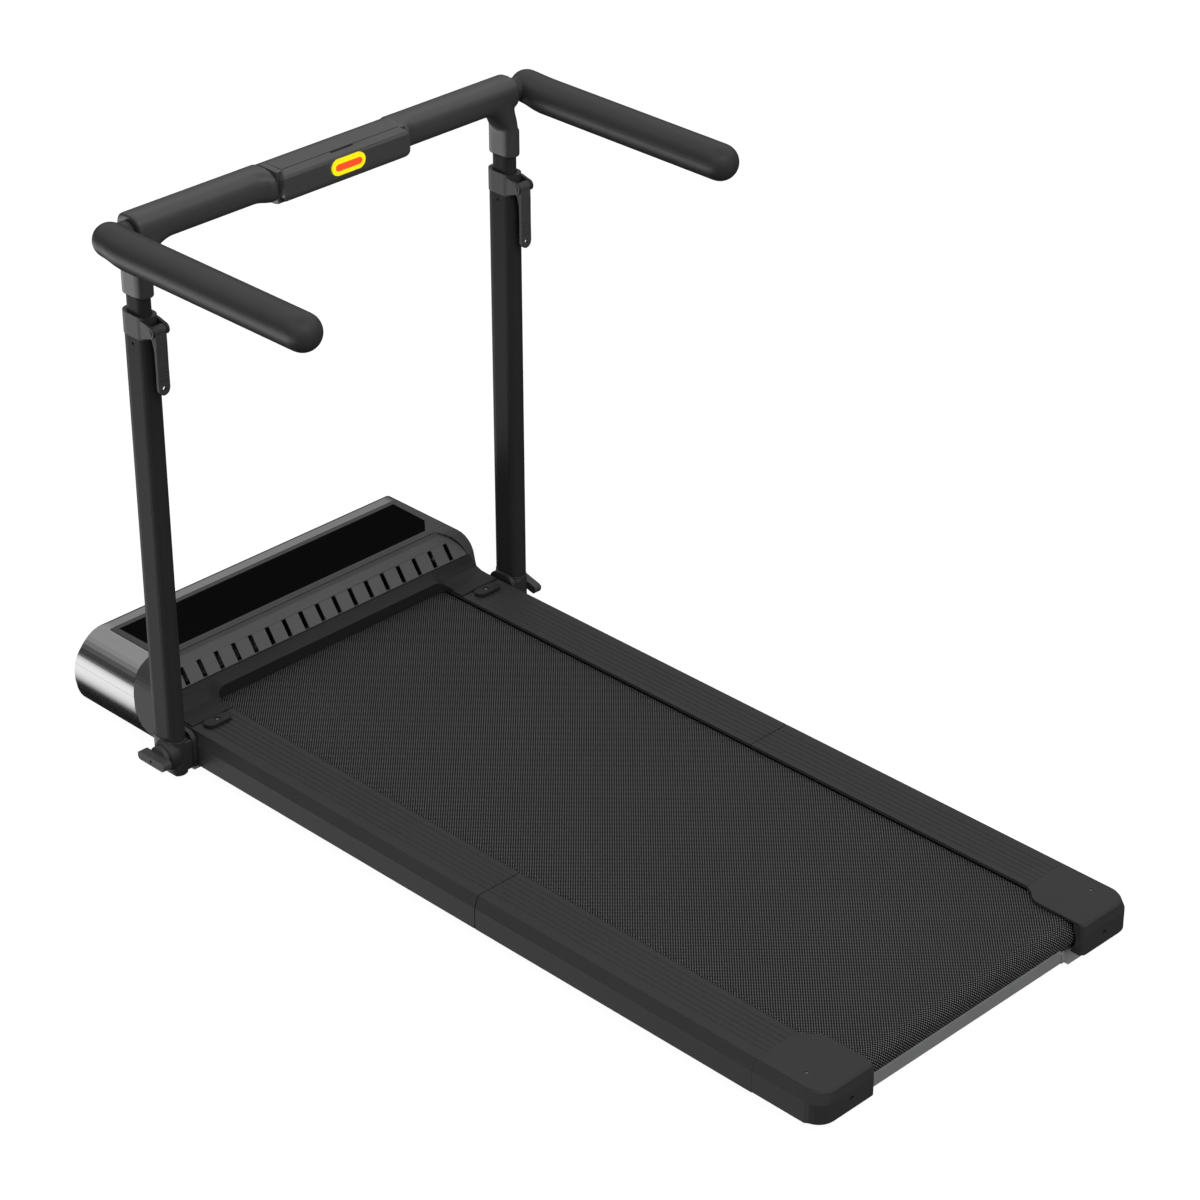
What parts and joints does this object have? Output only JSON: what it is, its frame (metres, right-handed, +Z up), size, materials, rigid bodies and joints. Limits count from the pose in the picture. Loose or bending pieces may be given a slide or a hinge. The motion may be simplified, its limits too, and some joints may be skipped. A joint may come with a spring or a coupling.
{
  "type": "folding walking treadmill",
  "caption": "Flat folding treadmill with a low motor hood, a two-post handrail that slides and folds, a padded grip arm at each end of the crossbar and a small console.",
  "frame": {"origin": "centre of the bounding box at floor level, with the posts upright and the deck flat", "axes": "+Z up, +Y towards the hood (the way the walker faces), +X to the walker's right"},
  "size_m": [0.7832, 1.4265, 0.8454],
  "materials": {
    "cover_plastic": "fine matt grain",
    "frame_paint": "satin black powder coat",
    "post_paint": "satin black coat",
    "gloss_shell": "piano-black gloss",
    "display_glass": "dark smooth display window",
    "motor_case": "painted",
    "steel": "ground",
    "grey_metal": "light grey",
    "rubber_parts": "plain",
    "wheel_tyre": "smooth tread",
    "belt_fabric": "fine woven-look grain",
    "board": "plain board",
    "grip_foam": "soft foam",
    "ring_yellow": "bright yellow",
    "button_orange": "orange, slightly translucent"
  },
  "bodies": {
    "base": {"frame_front": "frame_paint", "bottom_pan": "frame_paint", "deck_board_front": "board", "foot_rail_front_left": "cover_plastic", "foot_rail_front_right": "cover_plastic", "hood_shell_upper": "gloss_shell", "hood_shell_lower": "gloss_shell", "hood_cover": "cover_plastic", "hood_apron": "cover_plastic", "vent_grille": "cover_plastic", "display_glass": "display_glass", "drive_motor": "motor_case", "drive_belt": "rubber_parts", "motor_controller": "grey_metal", "belt_front": "belt_fabric", "power_inlet": "cover_plastic", "boss_pad_left": "cover_plastic", "boss_pad_right": "cover_plastic", "foot_front_left": "rubber_parts", "foot_front_right": "rubber_parts", "post_flange_left": "frame_paint", "post_flange_right": "frame_paint", "foot_plate_left": "grey_metal", "foot_plate_right": "grey_metal"},
    "rear_deck": {"frame_rear": "frame_paint", "deck_board_rear": "board", "foot_rail_rear_left": "cover_plastic", "foot_rail_rear_right": "cover_plastic", "rear_cap_left": "cover_plastic", "rear_cap_right": "cover_plastic", "rear_cross_member": "grey_metal", "belt_rear": "belt_fabric", "foot_rear_left": "rubber_parts", "foot_rear_right": "rubber_parts"},
    "front_roller": {"front_roller": "steel"},
    "rear_roller": {"rear_roller": "steel"},
    "motor_pulley": {"motor_pulley": "steel"},
    "power_switch": {"power_switch": "rubber_parts"},
    "wheel_left": {"transport_wheel_left": "wheel_tyre"},
    "wheel_right": {"transport_wheel_right": "wheel_tyre"},
    "handrail": {"post_hub_left": "frame_paint", "post_hub_right": "frame_paint", "outer_tube_left": "post_paint", "outer_tube_right": "post_paint", "clamp_left": "frame_paint", "clamp_right": "frame_paint"},
    "lever_left": {"clamp_lever_left": "cover_plastic"},
    "lever_right": {"clamp_lever_right": "cover_plastic"},
    "knob_left": {"lock_knob_left": "cover_plastic"},
    "knob_right": {"lock_knob_right": "cover_plastic"},
    "slider": {"inner_tube_left": "post_paint", "inner_tube_right": "post_paint", "crossbar": "post_paint", "console_body": "cover_plastic", "button_ring": "ring_yellow"},
    "phone_rest": {"phone_rest": "cover_plastic"},
    "start_button": {"start_button": "button_orange"},
    "grip_left": {"grip_left": "grip_foam"},
    "grip_right": {"grip_right": "grip_foam"}
  },
  "joints": [
    {"name": "deck_fold", "type": "hinge", "parent": "base", "child": "rear_deck", "pos_m": [0, -0.1168, 0.067], "axis": [-1, 0, 0], "range_deg": [0, 179.9]},
    {"name": "handrail_fold", "type": "hinge", "parent": "base", "child": "handrail", "pos_m": [0, 0.4587, 0.0425], "axis": [1, 0, 0], "range_deg": [0, 80]},
    {"name": "height_slide", "type": "slide", "parent": "handrail", "child": "slider", "axis": [0, 0, 1], "range_m": [-0.02, 0.18]},
    {"name": "clamp_lever_left", "type": "hinge", "parent": "handrail", "child": "lever_left", "pos_m": [-0.3252, 0.4312, 0.6915], "axis": [-1, 0, 0], "range_deg": [0, 90]},
    {"name": "lock_knob_left", "type": "hinge", "parent": "handrail", "child": "knob_left", "pos_m": [-0.36, 0.4587, 0.0425], "axis": [1, 0, 0], "range_deg": [0, 90]},
    {"name": "grip_fold_left", "type": "hinge", "parent": "slider", "child": "grip_left", "pos_m": [-0.3659, 0.4652, 0.8214], "axis": [1, 0, 0], "range_deg": [0, 90]},
    {"name": "wheel_spin_left", "type": "hinge", "parent": "base", "child": "wheel_left", "pos_m": [-0.2685, 0.6592, 0.022], "axis": [1, 0, 0], "continuous": true},
    {"name": "clamp_lever_right", "type": "hinge", "parent": "handrail", "child": "lever_right", "pos_m": [0.3252, 0.4312, 0.6915], "axis": [-1, 0, 0], "range_deg": [0, 90]},
    {"name": "lock_knob_right", "type": "hinge", "parent": "handrail", "child": "knob_right", "pos_m": [0.3464, 0.4587, 0.0425], "axis": [1, 0, 0], "range_deg": [-14, 76]},
    {"name": "grip_fold_right", "type": "hinge", "parent": "slider", "child": "grip_right", "pos_m": [0.3659, 0.4652, 0.8214], "axis": [1, 0, 0], "range_deg": [0, 90]},
    {"name": "wheel_spin_right", "type": "hinge", "parent": "base", "child": "wheel_right", "pos_m": [0.2685, 0.6592, 0.022], "axis": [1, 0, 0], "continuous": true},
    {"name": "front_roller_spin", "type": "hinge", "parent": "base", "child": "front_roller", "pos_m": [0, 0.5592, 0.037], "axis": [1, 0, 0], "continuous": true},
    {"name": "rear_roller_spin", "type": "hinge", "parent": "rear_deck", "child": "rear_roller", "pos_m": [0, -0.6748, 0.037], "axis": [1, 0, 0], "continuous": true},
    {"name": "motor_spin", "type": "hinge", "parent": "base", "child": "motor_pulley", "pos_m": [0.19, 0.6352, 0.062], "axis": [1, 0, 0], "continuous": true},
    {"name": "power_rocker", "type": "hinge", "parent": "base", "child": "power_switch", "pos_m": [0.21, 0.7012, 0.037], "axis": [1, 0, 0], "range_deg": [0, 14]},
    {"name": "phone_rest_flap", "type": "hinge", "parent": "slider", "child": "phone_rest", "pos_m": [0, 0.4674, 0.8453], "axis": [-1, 0, 0], "range_deg": [0, 75]},
    {"name": "button_press", "type": "slide", "parent": "slider", "child": "start_button", "axis": [0, 1, 0], "range_m": [0, 0.002], "stiffness_N_per_m": 400}
  ],
  "couplings": [
    {"joint": "rear_roller_spin", "follows": "front_roller_spin", "ratio": 1},
    {"joint": "motor_spin", "follows": "front_roller_spin", "ratio": 2.182}
  ]
}
